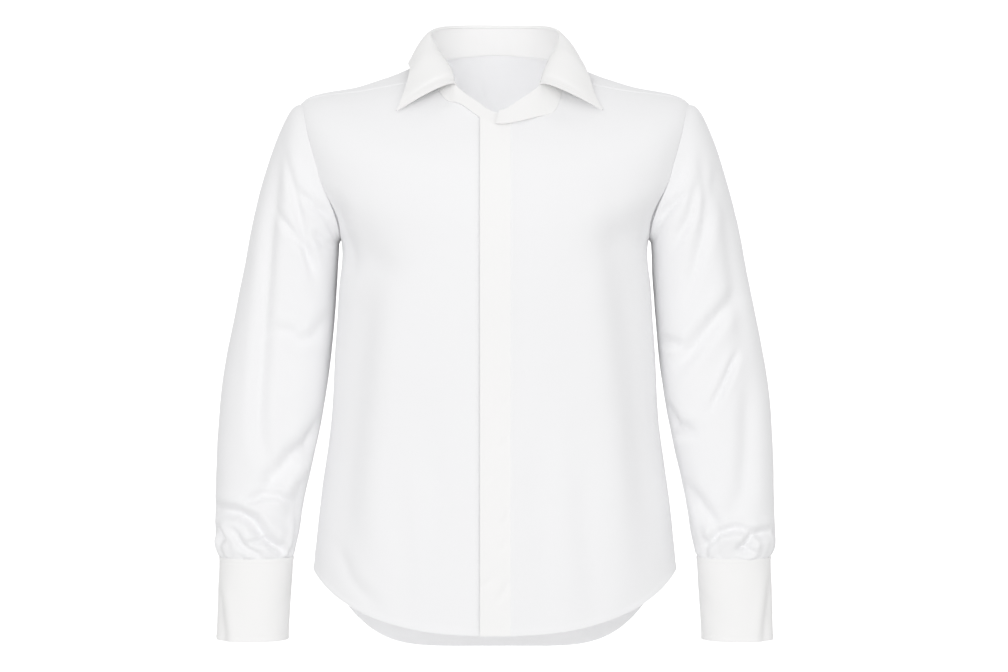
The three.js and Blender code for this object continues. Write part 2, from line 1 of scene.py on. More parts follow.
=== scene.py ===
# %% [markdown]
# # Long sleeve dress shirt
# A white cotton shirt with a fly front, an open spread collar, tall cuffs and a shirt-tail hem.
# It is filled out as if worn, with nobody in it. This script makes the cloth that is seen: each
# piece is a thin shell on its solid's form, with its creases, edges and stitching.

# %% Load the frame
import math

import bmesh
import bpy
import numpy as np
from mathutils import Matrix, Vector, noise


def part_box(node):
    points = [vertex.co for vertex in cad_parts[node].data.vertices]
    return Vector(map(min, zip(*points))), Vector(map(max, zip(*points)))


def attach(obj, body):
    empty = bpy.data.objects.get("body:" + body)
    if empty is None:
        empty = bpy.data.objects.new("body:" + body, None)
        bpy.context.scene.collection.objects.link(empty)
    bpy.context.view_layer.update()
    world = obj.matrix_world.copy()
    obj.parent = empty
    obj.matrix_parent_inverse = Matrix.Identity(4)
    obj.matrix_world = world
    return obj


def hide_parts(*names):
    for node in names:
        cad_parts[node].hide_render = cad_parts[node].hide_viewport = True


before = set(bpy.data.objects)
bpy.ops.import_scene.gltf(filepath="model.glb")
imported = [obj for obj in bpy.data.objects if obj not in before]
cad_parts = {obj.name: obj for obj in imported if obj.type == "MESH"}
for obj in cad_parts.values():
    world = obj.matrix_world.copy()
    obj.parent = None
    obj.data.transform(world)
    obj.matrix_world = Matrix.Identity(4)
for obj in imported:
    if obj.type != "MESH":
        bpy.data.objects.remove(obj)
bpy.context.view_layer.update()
MM = 0.001
print("nodes:", len(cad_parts))

# %% [markdown]
# ## Camera and stage
# A product view: the camera stands level with the middle of the shirt, far enough away that the
# near front and the far back keep almost the same scale. The stage is one pale sweep, a floor
# that curves up into a wall, so no horizon line crosses behind the cloth.

# %% Camera
CAMERA_DISTANCE = 2.4
VIEW_WIDTH = 1.2398            # width seen at the middle of the shirt
VIEW_HEIGHT_Z = -0.310
VIEW_SIDE_X = 0.011
camera_data = bpy.data.cameras.new("camera")
camera_data.sensor_width = 36
camera_data.lens = camera_data.sensor_width * CAMERA_DISTANCE / VIEW_WIDTH
camera = bpy.data.objects.new("camera", camera_data)
camera.location = (VIEW_SIDE_X, -CAMERA_DISTANCE, VIEW_HEIGHT_Z)
camera.rotation_euler = (math.radians(90), 0, 0)
bpy.context.collection.objects.link(camera)
bpy.context.scene.camera = camera
bpy.context.scene.view_settings.view_transform = "Standard"
print("lens:", round(camera_data.lens, 1), "mm")


# %% [markdown]
# ## Colours and nodes
# Colours are written as sRGB hex and turned to linear once. One small helper adds a node.

# %% Colour and node helpers
def linear(hex_colour):
    parts = [int(hex_colour[i:i + 2], 16) / 255 for i in (1, 3, 5)]
    return [p / 12.92 if p <= 0.04045 else ((p + 0.055) / 1.055) ** 2.4 for p in parts] + [1.0]


def add(tree, kind, settings=None, links=None):
    node = tree.nodes.new(kind)
    for key, value in (settings or {}).items():
        if key in node.inputs:
            node.inputs[key].default_value = value
        else:
            setattr(node, key, value)
    for key, source in (links or {}).items():
        tree.links.new(source, node.inputs[key])
    return node


def new_material(name):
    material = bpy.data.materials.new(name)
    material.use_nodes = True
    material.node_tree.nodes.clear()
    return material, material.node_tree


# %% [markdown]
# ## Cotton poplin
# Shirting poplin is a tight plain weave with a fine crosswise rib. Bleached white, it reflects
# most of the light, is matt, and has a faint sheen at grazing angles. Real threads are 0.2 mm
# apart, too fine to show, so the weave here is drawn at 0.9 mm, with a slight slub, and very low.

# %% Poplin materials
THREAD_MM = 0.9


def poplin(name, colour, roughness, sheen, weave_height):
    material, tree = new_material(name)
    uv = add(tree, "ShaderNodeUVMap", {"uv_map": "cut"})
    warp = add(tree, "ShaderNodeTexWave", {"Scale": 1 / (THREAD_MM * 20 * MM) * 0.314, "Distortion": 0.4},
               {"Vector": uv.outputs["UV"]})
    warp.bands_direction = "X"
    weft = add(tree, "ShaderNodeTexWave", {"Scale": 1 / (THREAD_MM * 20 * MM) * 0.314, "Distortion": 0.4},
               {"Vector": uv.outputs["UV"]})
    weft.bands_direction = "Y"
    weave = add(tree, "ShaderNodeMix", {"data_type": "FLOAT", "Factor": 0.5},
                {2: warp.outputs["Fac"], 3: weft.outputs["Fac"]})
    slub = add(tree, "ShaderNodeTexNoise", {"Scale": 90.0, "Detail": 3.0},
               {"Vector": uv.outputs["UV"]})
    height = add(tree, "ShaderNodeMix", {"data_type": "FLOAT", "Factor": 0.35},
                 {2: weave.outputs[0], 3: slub.outputs["Fac"]})
    bump = add(tree, "ShaderNodeBump", {"Strength": 0.25, "Distance": weave_height * MM},
               {"Height": height.outputs[0]})
    tone = add(tree, "ShaderNodeTexNoise", {"Scale": 6.0, "Detail": 2.0}, {"Vector": uv.outputs["UV"]})
    shades = add(tree, "ShaderNodeMix", {"data_type": "RGBA", "A": linear(colour[0]), "B": linear(colour[1])},
                 {"Factor": tone.outputs["Fac"]})
    cloth = add(tree, "ShaderNodeBsdfPrincipled",
                {"Roughness": roughness, "Sheen Weight": sheen, "Sheen Roughness": 0.5, "IOR": 1.45,
                 "Specular IOR Level": 0.25},
                {"Base Color": shades.outputs["Result"], "Normal": bump.outputs["Normal"]})
    out = add(tree, "ShaderNodeOutputMaterial")
    tree.links.new(cloth.outputs["BSDF"], out.inputs["Surface"])
    return material


woven_poplin = poplin("woven_cotton_poplin", ("#f6f6f7", "#f8f8f9"), 0.85, 0.15, 0.12)
fused_poplin = poplin("fused_cotton_poplin", ("#f8f8f7", "#faf9f9"), 0.78, 0.12, 0.1)
print("materials:", woven_poplin.name, fused_poplin.name)

# %% [markdown]
# ## The cutter's tables
# A shirt's form is given by a few sections. Sizes are in millimetres. Each body section has its
# height at the centre front, side and centre back, its half width, and its depth fore and aft of
# the side seam. A smooth curve runs through the sections from hem to neck.

# %% Body sections
BODY = [  # rise, front z, side z, back z, half width, fore, aft
    (0, -661, -594, -708, 222, 118, 106),
    (40, -602, -560, -636, 219, 118, 109),
    (105, -512, -498, -520, 212, 117, 108),
    (185, -420, -418, -422, 201, 116, 104),
    (270, -330, -330, -330, 196, 119, 107),
    (342, -260, -258, -256, 191.5, 124, 114),
    (400, -208, -190, -195, 189, 127, 120),
    (480, -165, -95, -112, 233, 126.5, 124),
    (560, -120, -24, -30, 236.5, 121, 115),
    (640, -91, -2, 9, 160, 112, 98),
]
NECK_RISE = 715
TAIL_ROWS = 3
TAIL_START = 0.2
FRONT_TAIL = (0.8, 1.6, 0)     # reach, power, roundness
BACK_TAIL = (0.8, 2.0, 1)
BODY_SQUARENESS = 0.8

# %% Collar curves
COLLAR_BACK = [  # angle, seam, roll, leaf
    (180, (0, 74, 46), (0, 62, 78), (0, 87, 39)),
    (150, (44, 64, 42), (41, 53, 76.5), (55, 77, 38)),
    (120, (76, 34, 34), (68.5, 26, 70), (93, 42, 33)),
    (90, (86, 0, 26), (78.5, -4, 56), (106, -6, 25.5)),
]
COLLAR_LEFT = [
    (64, (81, -44, 0), (74, -28, 38), (113, -44, 6)),
    (50, (77, -64, -23), (65, -44, 20), (118, -64, -16)),
    (38, (69, -77, -41), (58, -57, 2), (122, -77, -29)),
    (25, (50, -86, -49), (52, -68, -13), (128, -88, -42)),
    (12, (26, -93, -57), (30, -79, -31), (128, -88, -42)),
]
COLLAR_RIGHT = [
    (64, (76, -42, 2), (69, -28, 34), (103, -44, 10)),
    (50, (66, -61, -15), (57, -44, 16), (107, -64, -12)),
    (38, (56, -73, -28), (50, -57, 1), (111, -77, -27)),
    (25, (42, -81, -33), (45, -68, -13), (116.5, -87, -43)),
    (12, (20, -91, -49), (22, -79, -31), (116.5, -87, -43)),
]
COLLAR_FRONT = (0, (0, -99, -61), (4, -88, -46), (0, -97, -46))
LEAF_START = 25
FOLD_RISE = 8
FOLD_OUT = 12
FRONT_LOOSENESS = 1.85
FRONT_HEIGHT = 0.45
FRONT_GAP = 2.8

# %% Sleeve and cuff sections
SLEEVE = [  # along, outer x z, inner x z, middle y, half depth
    (24, 250, -35, 192, -196, 0, 68),
    (48, 264, -60, 192.5, -203, 0, 69),
    (84, 280, -105, 193, -213, 1, 68),
    (132, 296, -165, 193.5, -228, 2, 65),
    (185, 309, -230, 195, -252, 3, 62),
    (228, 319, -280, 198, -290, 4, 60),
    (284, 331, -340, 203, -342, 3, 57),
    (333, 337, -390, 209, -390, -2, 55),
    (394, 340, -452, 220, -448, -9, 51),
    (455, 340.5, -512, 232.5, -507, -18, 47),
    (494, 340, -550, 238.5, -546, -25, 44.5),
    (510, 339, -566, 242, -563, -28, 41),
    (521, 334, -577, 245, -577, -30, 36),
]
SLEEVE_END = 521
SLEEVE_SQUARENESS = 0.92
HEAD_RISE, HEAD_TURN = 3, -10   # fullness just past the top of the armhole
CUFF = [
    (0, 334, -577.5, 245, -577.5, -30, 36),
    (50, 335, -627, 247.5, -627, -34, 34.5),
    (99, 336, -676, 250, -676, -38, 33.5),
]
CUFF_TALL = 99
print("sections:", len(BODY), "body,", len(SLEEVE), "sleeve,", len(CUFF), "cuff")


# %% [markdown]
# ## Smooth surfaces from sections
# Every piece is cut from one of four surfaces: body, band, leaf or sleeve. Each surface takes two
# numbers, such as an angle round the body and a rise above the hem, and gives places in space.
# A cubic curve through the sections keeps them smooth, as a pattern cutter's curve would.

# %% Curves through sections
def through(keys, rows, at):
    keys = np.asarray(keys, float)
    rows = np.asarray(rows, float)
    last = len(keys) - 1
    before = np.maximum(np.arange(last + 1) - 1, 0)
    after = np.minimum(np.arange(last + 1) + 1, last)
    shape = (-1,) + (1,) * (rows.ndim - 1)
    slopes = (rows[after] - rows[before]) / (keys[after] - keys[before]).reshape(shape)
    i = np.clip(np.searchsorted(keys, at, "right") - 1, 0, last - 1)
    span = keys[i + 1] - keys[i]
    t = (at - keys[i]) / span
    if rows.ndim == 3:
        spots = np.arange(rows.shape[1])
        a, b, ma, mb = rows[i, spots], rows[i + 1, spots], slopes[i, spots], slopes[i + 1, spots]
    else:
        a, b, ma, mb = rows[i], rows[i + 1], slopes[i], slopes[i + 1]
    t, span = t[:, None], span[:, None]
    return (a * (2 * t**3 - 3 * t**2 + 1) + ma * (t**3 - 2 * t**2 + t) * span
            + b * (3 * t**2 - 2 * t**3) + mb * (t**3 - t**2) * span)


def signed_power(x, power):
    return np.sign(x) * np.abs(x) ** power


def ease(x, low, high):
    t = np.clip((x - low) / (high - low), 0, 1)
    return t * t * (3 - 2 * t)


def unit(vectors):
    return vectors / np.linalg.norm(vectors, axis=-1, keepdims=True)


# %% Neck curves
def neck_curve(column):
    def mirrored(row, side):
        x, y, z = row[column]
        return side * row[0], (side * x, y, z)
    back = COLLAR_BACK[1:]
    ring = [mirrored(COLLAR_BACK[0], -1)]
    ring += [mirrored(row, -1) for row in back + COLLAR_RIGHT]
    ring += [mirrored(COLLAR_FRONT, 1)]
    ring += [mirrored(row, 1) for row in reversed(back + COLLAR_LEFT)]
    keys = [angle + turn for turn in (-360, 0, 360) for angle, _ in ring]
    places = [place for _ in range(3) for _, place in ring]
    return lambda angle: through(keys, places, angle)


seam_curve, roll_curve, leaf_curve = neck_curve(1), neck_curve(2), neck_curve(3)


# %% Body surface
def tail_drop(depth, tail):
    reach, power, roundness = tail
    u = np.clip((depth - TAIL_START) / reach, 0, 1)**power
    return u + (np.sin(math.pi / 2 * u) - u) * roundness


def body(angle, rise):
    across = signed_power(np.sin(np.radians(angle)), BODY_SQUARENESS)
    depth = signed_power(np.cos(np.radians(angle)), BODY_SQUARENESS)
    ahead = depth > 0
    rows = []
    for index, (_, front, side, back, half, fore, aft) in enumerate(BODY):
        if index < TAIL_ROWS:
            share = np.where(ahead, tail_drop(np.abs(depth), FRONT_TAIL), tail_drop(np.abs(depth), BACK_TAIL))
        else:
            share = depth**2
        z = side + (np.where(ahead, front, back) - side) * share
        rows.append(np.stack([half * across, -depth * np.where(ahead, fore, aft), z], axis=1))
    rows.append(seam_curve(angle))
    return through([row[0] for row in BODY] + [NECK_RISE], rows, rise)


# %% Armhole and seams on the body
ARM_MIDDLE, ARM_HALF = 480, 80
ARM_TOP_ANGLE, ARM_PIT_ANGLE = 82, 90
ARM_FRONT, ARM_BACK = 24, 32.3
YOKE_SEAM = [(560, 82), (640, 74), (715, 64)]
BACK_YOKE_TURN = 45


def armhole_rise(turn):
    return ARM_MIDDLE + ARM_HALF * np.cos(np.radians(turn))


def armhole_angle(turn):
    up = (1 + np.cos(np.radians(turn))) / 2
    out = np.sin(np.radians(turn))
    reach = np.where(out > 0, ARM_FRONT, ARM_BACK)
    return ARM_PIT_ANGLE + (ARM_TOP_ANGLE - ARM_PIT_ANGLE) * up - reach * out


def turn_at(rise):
    return np.degrees(np.arccos(np.clip((rise - ARM_MIDDLE) / ARM_HALF, -1, 1)))


def yoke_seam_angle(rise):
    keys, angles = zip(*YOKE_SEAM)
    return through(keys, np.array(angles, float)[:, None], rise)[:, 0]


def panel_edge(rise, direction):
    hole = armhole_angle(direction * turn_at(rise))
    upper = yoke_seam_angle(np.maximum(rise, YOKE_SEAM[0][0]))
    return np.where(rise <= ARM_MIDDLE - ARM_HALF, ARM_PIT_ANGLE,
                    np.where(rise < ARM_MIDDLE + ARM_HALF, hole, upper))


def angle_at_x(x, rise):
    low, high = np.full(len(rise), -40.0), np.full(len(rise), 40.0)
    for _ in range(30):
        middle = (low + high) / 2
        short = body(middle, rise)[:, 0] < x
        low, high = np.where(short, middle, low), np.where(short, high, middle)
    return (low + high) / 2


# %% Band, leaf, sleeve and cuff surfaces
def band(angle, share):
    return seam_curve(angle) * (1 - share)[:, None] + roll_curve(angle) * share[:, None]


def leaf(angle, share):
    roll, edge = roll_curve(angle), leaf_curve(angle)
    up = unit(roll - seam_curve(angle))
    out = unit(np.cross(roll_curve(angle + 1) - roll_curve(angle - 1), up))
    from_back = np.abs(180 - angle)
    loose = (1 + (FRONT_LOOSENESS - 1) * ease(from_back, 80, 125))[:, None]
    gap = (0.3 + (FRONT_GAP - 0.3) * ease(from_back, 80, 100))[:, None]
    start = roll + up * gap
    high = (1 + (FRONT_HEIGHT - 1) * ease(from_back, 80, 125))[:, None]
    rise = start + up * FOLD_RISE * high
    over = roll + out * FOLD_OUT * loose + up * 0.7 * FOLD_RISE * high
    t = share[:, None]
    return (start * (1 - t)**3 + 3 * rise * (1 - t)**2 * t + 3 * over * (1 - t) * t**2 + edge * t**3)


def ring_points(ring, turn):
    _, outer_x, outer_z, inner_x, inner_z, mid, deep = ring
    across = (1 + signed_power(np.cos(np.radians(turn)), SLEEVE_SQUARENESS)) / 2
    ahead = signed_power(np.sin(np.radians(turn)), SLEEVE_SQUARENESS)
    return np.stack([inner_x + (outer_x - inner_x) * across, mid - deep * ahead,
                     inner_z + (outer_z - inner_z) * across], axis=1)


def sleeve(turn, along):
    head = body(armhole_angle(turn), armhole_rise(turn))
    rows = [head] + [ring_points(ring, turn) for ring in SLEEVE]
    places = through([0] + [ring[0] for ring in SLEEVE], rows, along)
    top = np.maximum(np.cos(np.radians(turn - HEAD_TURN)), 0)**2
    places[:, 2] += HEAD_RISE * top * ease(along, 0, 14) * (1 - ease(along, 14, 46))
    return places


def cuff(turn, along):
    return through([ring[0] for ring in CUFF], [ring_points(ring, turn) for ring in CUFF], along)


print("body width at the hem:", round(float(body(np.array([90.0]), np.array([0.0]))[0, 0] * 2)), "mm")

# %% [markdown]
# ## Creases
# Cloth creases where it is pulled or has slack: from the armhole towards the chest, across the
# inside of the elbow, and where the wide sleeve meets the narrow cuff. A crease here is a line of
# two or three points on the front, in x and z, with a width and a depth in millimetres. Across
# the line the cloth sinks and swells a little beside it, and the line fades at its ends. The
# wearer's left is side 1. Creases on the back are placed in the same way, since the back of a
# worn sleeve folds as its front does.

# %% Crease tables
SLEEVE_CREASES = [  # side, face, width, depth, points
    (-1, "front", 9, 6.0, [(261, -99), (271, -189), (274, -233), (279, -303), (284, -393), (284, -425),
                           (272, -473)]),
    (-1, "front", 5, 3.8, [(248, -105), (238, -147), (227, -195), (218, -239)]),
    (-1, "front", 5, 3.6, [(261, -162), (243, -186), (227, -207), (218, -229)]),
    (-1, "front", 5, 3.6, [(235, -136), (219, -153), (202, -164)]),
    (-1, "front", 6, 4.0, [(217, -186), (205, -200), (193, -202)]),
    (-1, "front", 7, 3.0, [(274, -311), (260, -302), (245, -305), (236, -315), (219, -311), (202, -281)]),
    (-1, "front", 11, 11.0, [(208, -415), (225, -443), (243, -456), (278, -496)]),
    (-1, "front", 12, 5.0, [(226, -475), (238, -506), (248, -535)]),
    (-1, "front", 5, 6.0, [(300, -510), (279, -501), (259, -502), (247, -510)]),
    (-1, "front", 7, 13.0, [(338, -519), (308, -522), (290, -531), (278, -547), (255, -569)]),
    (-1, "front", 5, 7.0, [(338, -540), (327, -558)]),
    (-1, "front", 4, 5.5, [(312, -543), (303, -561), (285, -570)]),
    (-1, "front", 4, 5.0, [(299, -558), (274, -555), (253, -567)]),
    (1, "front", 6, 4.4, [(241, -128), (235, -165), (215, -201)]),
    (1, "front", 7, 4.4, [(249, -105), (253, -147), (250, -191), (233, -255)]),
    (1, "front", 8, 2.4, [(266, -111), (261, -165), (255, -186)]),
    (1, "front", 12, 4.4, [(269, -123), (281, -165), (286, -213), (291, -251), (300, -317)]),
    (1, "front", 5, 4.2, [(226, -141), (201, -166)]),
    (1, "front", 9, 9.0, [(286, -266), (266, -291), (245, -317), (221, -346)]),
    (1, "front", 4.5, 7.0, [(291, -334), (278, -363), (261, -396)]),
    (1, "front", 6, 4.0, [(201, -312), (226, -321)]),
    (1, "front", 8, 8.0, [(201, -390), (218, -419), (238, -424)]),
    (1, "front", 11, 5.0, [(306, -367), (304, -437), (299, -494), (282, -528)]),
    (1, "front", 8, 6.0, [(230, -490), (268, -540)]),
    (1, "front", 5, 8.5, [(250, -564), (268, -546), (287, -540), (304, -543)]),
    (1, "front", 6, 10.0, [(334, -546), (311, -548), (302, -560), (291, -569)]),
    (1, "front", 4, 5.0, [(291, -563), (314, -570)]),
    (-1, "back", 13, 8.0, [(296, -300), (262, -338), (226, -362)]),
    (-1, "back", 9, 6.0, [(310, -372), (270, -398), (232, -402)]),
    (-1, "back", 12, 4.6, [(252, -110), (262, -200), (275, -275)]),
    (-1, "back", 7, 8.0, [(252, -560), (279, -540), (302, -545)]),
    (1, "back", 13, 8.0, [(300, -318), (268, -350), (228, -366)]),
    (1, "back", 9, 6.0, [(312, -386), (276, -404), (236, -414)]),
    (1, "back", 12, 4.6, [(249, -115), (257, -190), (270, -262)]),
    (1, "back", 7, 8.0, [(256, -556), (284, -544), (312, -552)]),
]
CUFF_CREASES = [
    (-1, "front", 6.5, 4.4, [(337, -612), (331, -645), (325, -684)]),
    (1, "front", 6.5, 4.2, [(336, -600), (330, -640), (323, -684)]),
]
BODY_CREASES = [
    (-1, "front", 9, 4.0, [(190, -150), (182, -189), (172, -232)]),
    (-1, "front", 18, 3.6, [(184, -196), (150, -222), (112, -238)]),
    (-1, "front", 26, 7.0, [(150, -228), (166, -330), (178, -440), (186, -560)]),
    (-1, "front", 20, -2.4, [(122, -215), (132, -330), (146, -470), (150, -600)]),
    (-1, "front", 14, 2.0, [(112, -500), (106, -590), (104, -650)]),
    (-1, "front", 16, 1.8, [(70, -420), (78, -560), (82, -650)]),
    (-1, "front", 8, 2.2, [(190, -560), (170, -600), (140, -628)]),
    (1, "front", 9, 2.6, [(206, -140), (196, -168), (180, -205)]),
    (1, "front", 18, 3.4, [(198, -160), (165, -190), (130, -205)]),
    (1, "front", 26, 7.0, [(146, -190), (164, -290), (178, -420), (190, -560)]),
    (1, "front", 20, -2.4, [(120, -180), (132, -310), (146, -450), (156, -600)]),
    (1, "front", 15, 2.2, [(104, -470), (110, -560), (118, -640)]),
    (1, "front", 15, 1.8, [(58, -400), (56, -520), (62, -650)]),
    (-1, "back", 18, 5.0, [(200, -120), (160, -170), (118, -205)]),
    (1, "back", 18, 5.0, [(203, -112), (166, -166), (122, -212)]),
    (-1, "back", 24, 4.4, [(90, -230), (104, -400), (124, -580)]),
    (1, "back", 24, 4.4, [(84, -250), (98, -410), (112, -600)]),
    (1, "back", 26, 3.2, [(20, -300), (26, -450), (22, -640)]),
    (-1, "back", 30, 5.0, [(160, -220), (176, -380), (190, -560)]),
    (1, "back", 30, 5.0, [(158, -230), (174, -390), (188, -560)]),
]


FLY_CREASES = [
    (1, "front", 3, 1.0, [(18, -384), (10, -388), (4, -386)]),
    (1, "front", 4, 1.2, [(19, -430), (8, -438), (2, -436)]),
    (1, "front", 3, 1.2, [(19, -512), (12, -528), (3, -534)]),
    (1, "front", 3, 1.0, [(18, -548), (9, -560), (1, -562)]),
    (1, "front", 4, 1.3, [(19, -596), (10, -612), (2, -622)]),
    (-1, "front", 4, 0.9, [(2, -470), (9, -478), (16, -476)]),
    (-1, "front", 4, 0.9, [(1, -590), (8, -600), (16, -602)]),
]


# %% Crease depth
def crease_line(points, spots):
    """Signed distance from a bent line, and how far along it, from 0 to 1."""
    best = np.full(len(spots), 1e9)
    signed, run = np.zeros(len(spots)), np.zeros(len(spots))
    line = np.array(points, float)
    lengths = np.linalg.norm(np.diff(line, axis=0), axis=1)
    starts = np.concatenate([[0], np.cumsum(lengths)])
    for k, length in enumerate(lengths):
        way = (line[k + 1] - line[k]) / length
        off = spots - line[k]
        along = off @ way
        low = -1e3 if k == 0 else 0
        high = 1e3 if k == len(lengths) - 1 else length
        held = np.clip(along, low, high)
        gap = off - held[:, None] * way
        distance = np.linalg.norm(gap, axis=1)
        nearer = distance < best
        side = np.sign(off[:, 0] * way[1] - off[:, 1] * way[0])
        best = np.where(nearer, distance, best)
        signed = np.where(nearer, side * distance, signed)
        run = np.where(nearer, (starts[k] + held) / starts[-1], run)
    return signed, run


def creased(places, normals, creases):
    side = np.sign(places[:, 0])
    spots = np.stack([np.abs(places[:, 0]), places[:, 2]], axis=1)
    depth = np.zeros(len(places))
    for crease_side, face, width, sink, points in creases:
        facing = normals[:, 1] * (-1 if face == "front" else 1)
        seen = (side == crease_side) & (facing > -0.05)
        if not seen.any():
            continue
        off, run = crease_line(points, spots[seen])
        q = off / width
        cross = np.exp(-q**2) - 0.28 * np.exp(-((q - 1.9) / 1.1)**2) - 0.16 * np.exp(-((q + 1.9) / 1.1)**2)
        fade = ease(run, -0.22, 0.3) * (1 - ease(run, 0.7, 1.22))
        depth[seen] += sink * cross * fade * ease(facing[seen], 0, 0.45)
    return depth


print("creases:", len(SLEEVE_CREASES), "on sleeves,", len(BODY_CREASES), "on the body")

# %% [markdown]
# ## Edges and seams
# What makes a shirt look sewn is its edges. A seam sinks a little where two pieces meet. A
# turned edge is thicker for a few millimetres, with a line of stitches that pulls it down. These
# are made in the mesh: the grid is finer near its edges, and each edge has a height profile by
# its distance from the border.

# %% Edge profiles
HEM_WIDE, EDGE_STITCH, FELL_WIDE = 6.0, 5.0, 7.0


def edge_profile(kind, distance):
    if kind == "seam":
        return -0.35 * np.exp(-(distance / 1.6)**2)
    if kind == "felled":
        raised = 0.45 * (1 - ease(distance, FELL_WIDE - 0.8, FELL_WIDE + 0.8))
        edge_sink = 0.9 * np.exp(-(distance / 1.6)**2)
        stitch_sink = 0.3 * np.exp(-((distance - FELL_WIDE + 1.5) / 0.7)**2)
        return raised - edge_sink - stitch_sink
    if kind == "hem":
        raised = 0.6 * (1 - ease(distance, HEM_WIDE - 0.7, HEM_WIDE + 0.7))
        return raised - 0.35 * np.exp(-((distance - HEM_WIDE + 1) / 0.8)**2)
    raised = 0.4 * (1 - ease(distance, EDGE_STITCH, EDGE_STITCH + 2.5))
    return raised - 0.5 * np.exp(-((distance - EDGE_STITCH) / 0.8)**2)


def near_ends(low, high, count, crowd=0.8):
    t = np.linspace(0, 1, count)
    return low + (high - low) * (t - crowd * np.sin(2 * np.pi * t) / (2 * np.pi))


# %% [markdown]
# ## One maker for every cloth piece
# A flat grid from bmesh is laid on the surface, pushed by creases, edges and a faint unevenness,
# and given a wall by Solidify. The grid's own rows and columns become the cut's UV map in real
# metres, so the weave follows the cloth.

# %% Cloth maker
def normals_of(surface, a, b, step_a, step_b):
    across = surface(a + step_a, b) - surface(a - step_a, b)
    along = surface(a, b + step_b) - surface(a, b - step_b)
    return unit(np.cross(across, along))


def cloth(name, surface, a, b, side=1, facing=1, lift=None, wall=0.7, creases=(), edges=None,
          tube=False, step_b=0.4, material=None, uneven=0.5, shape=None):
    rows, columns = a.shape
    flat_a, flat_b = a.ravel(), b.ravel()
    places = surface(flat_a, flat_b)
    normals = normals_of(surface, flat_a, flat_b, 0.25, step_b) * facing
    if side < 0:
        places, normals = places * (-1, 1, 1), normals * (-1, 1, 1)
    if lift is not None:
        places = places + normals * lift(flat_a, flat_b)[:, None]
    if shape is not None:
        places = shape(places, normals, flat_a, flat_b)
    grid = places.reshape(rows, columns, 3)
    steps_across = np.linalg.norm(np.diff(grid, axis=1), axis=2)
    steps_along = np.linalg.norm(np.diff(grid, axis=0), axis=2)
    from_left = np.concatenate([np.zeros((rows, 1)), np.cumsum(steps_across, axis=1)], axis=1)
    from_start = np.concatenate([np.zeros((1, columns)), np.cumsum(steps_along, axis=0)], axis=0)
    distances = {"left": from_left, "right": from_left[:, -1:] - from_left,
                 "start": from_start, "end": from_start[-1:] - from_start}
    height = -creased(places, normals, creases)
    for edge, kind in (edges or {}).items():
        height += edge_profile(kind, distances[edge].ravel())
    if uneven:
        waves = [noise.noise(Vector(p) * 0.022) + 0.4 * noise.noise(Vector(p) * 0.06) for p in places]
        height += uneven * np.array(waves)
    places = (places + normals * height[:, None]) * MM
    return cloth_object(name, places, normals, distances, rows, columns, wall, tube, material)


def cloth_object(name, places, normals, distances, rows, columns, wall, tube, material):
    bm = bmesh.new()
    bmesh.ops.create_grid(bm, x_segments=columns - 1, y_segments=rows - 1, size=0.5)
    uv = bm.loops.layers.uv.new("cut")
    spots = {}
    for vertex in bm.verts:
        j = round((vertex.co.x + 0.5) * (columns - 1))
        i = round((vertex.co.y + 0.5) * (rows - 1))
        spots[vertex] = i * columns + j
    across, along = distances["left"].ravel() * MM, distances["start"].ravel() * MM
    for face in bm.faces:
        for loop in face.loops:
            spot = spots[loop.vert]
            loop[uv].uv = (across[spot], along[spot])
    for vertex, spot in spots.items():
        vertex.co = places[spot]
    bm.normal_update()
    middle = bm.faces[:][len(bm.faces) // 2]
    if middle.normal.dot(Vector(normals[spots[middle.verts[0]]])) < 0:
        bmesh.ops.reverse_faces(bm, faces=bm.faces)
    if tube:
        bmesh.ops.remove_doubles(bm, verts=bm.verts, dist=1e-6)
    for edge in bm.edges:
        edge.smooth = not edge.is_boundary
    mesh = bpy.data.meshes.new(name)
    bm.to_mesh(mesh)
    bm.free()
    mesh.polygons.foreach_set("use_smooth", [True] * len(mesh.polygons))
    piece = bpy.data.objects.new(name, mesh)
    bpy.context.collection.objects.link(piece)
    solid = piece.modifiers.new("wall", "SOLIDIFY")
    solid.thickness = wall * MM
    solid.offset = -1
    mesh.materials.append(material or woven_poplin)
    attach(piece, "root")
    print(name, len(mesh.polygons), "faces")
    return piece


def spans(low, high, shares):
    """Rows of numbers from low to high, one row for each entry of low."""
    return low[:, None] + (high - low)[:, None] * shares[None, :]


# %% [markdown]
# ## Fronts, back and yoke
# The wearer's left front carries the fly, a folded strip that hides the buttons, and it laps over
# the right front. The yoke covers the shoulders and comes a little way down the front. Each is a
# grid with one row of places for each rise above the hem, and the row runs from edge to edge.

# %% Row and column spacing
FLY_EDGE, FLY_SEAM, UNDER_EDGE = -17, 18, 15
FLY_LIFT, FLY_WALL, UNDER_DROP = 0.4, 1.3, 1.2
YOKE_RISE = float(armhole_rise(BACK_YOKE_TURN))
below = near_ends(0, ARM_MIDDLE - ARM_HALF, 120, 0.6)
beside = armhole_rise(np.linspace(180, 0, 61))[1:]
above = near_ends(ARM_MIDDLE + ARM_HALF, NECK_RISE, 36, 0.6)[1:]
rises = np.concatenate([below, beside, above])
shares = near_ends(0, 1, 84)
wide_shares = near_ends(0, 1, 150)


def by_rise(rise, low, high, columns):
    a = spans(low, high, columns)
    return a, np.repeat(rise[:, None], len(columns), axis=1)


# %% Fronts
def under_fly(a, b):
    return -UNDER_DROP * ease(body(a, b)[:, 0], FLY_EDGE - 7, FLY_EDGE)


def beside_fly(a, b):
    return FLY_LIFT + 0.7 - (FLY_LIFT + 0.7) * ease(body(a, b)[:, 0], FLY_SEAM, FLY_SEAM + 26)


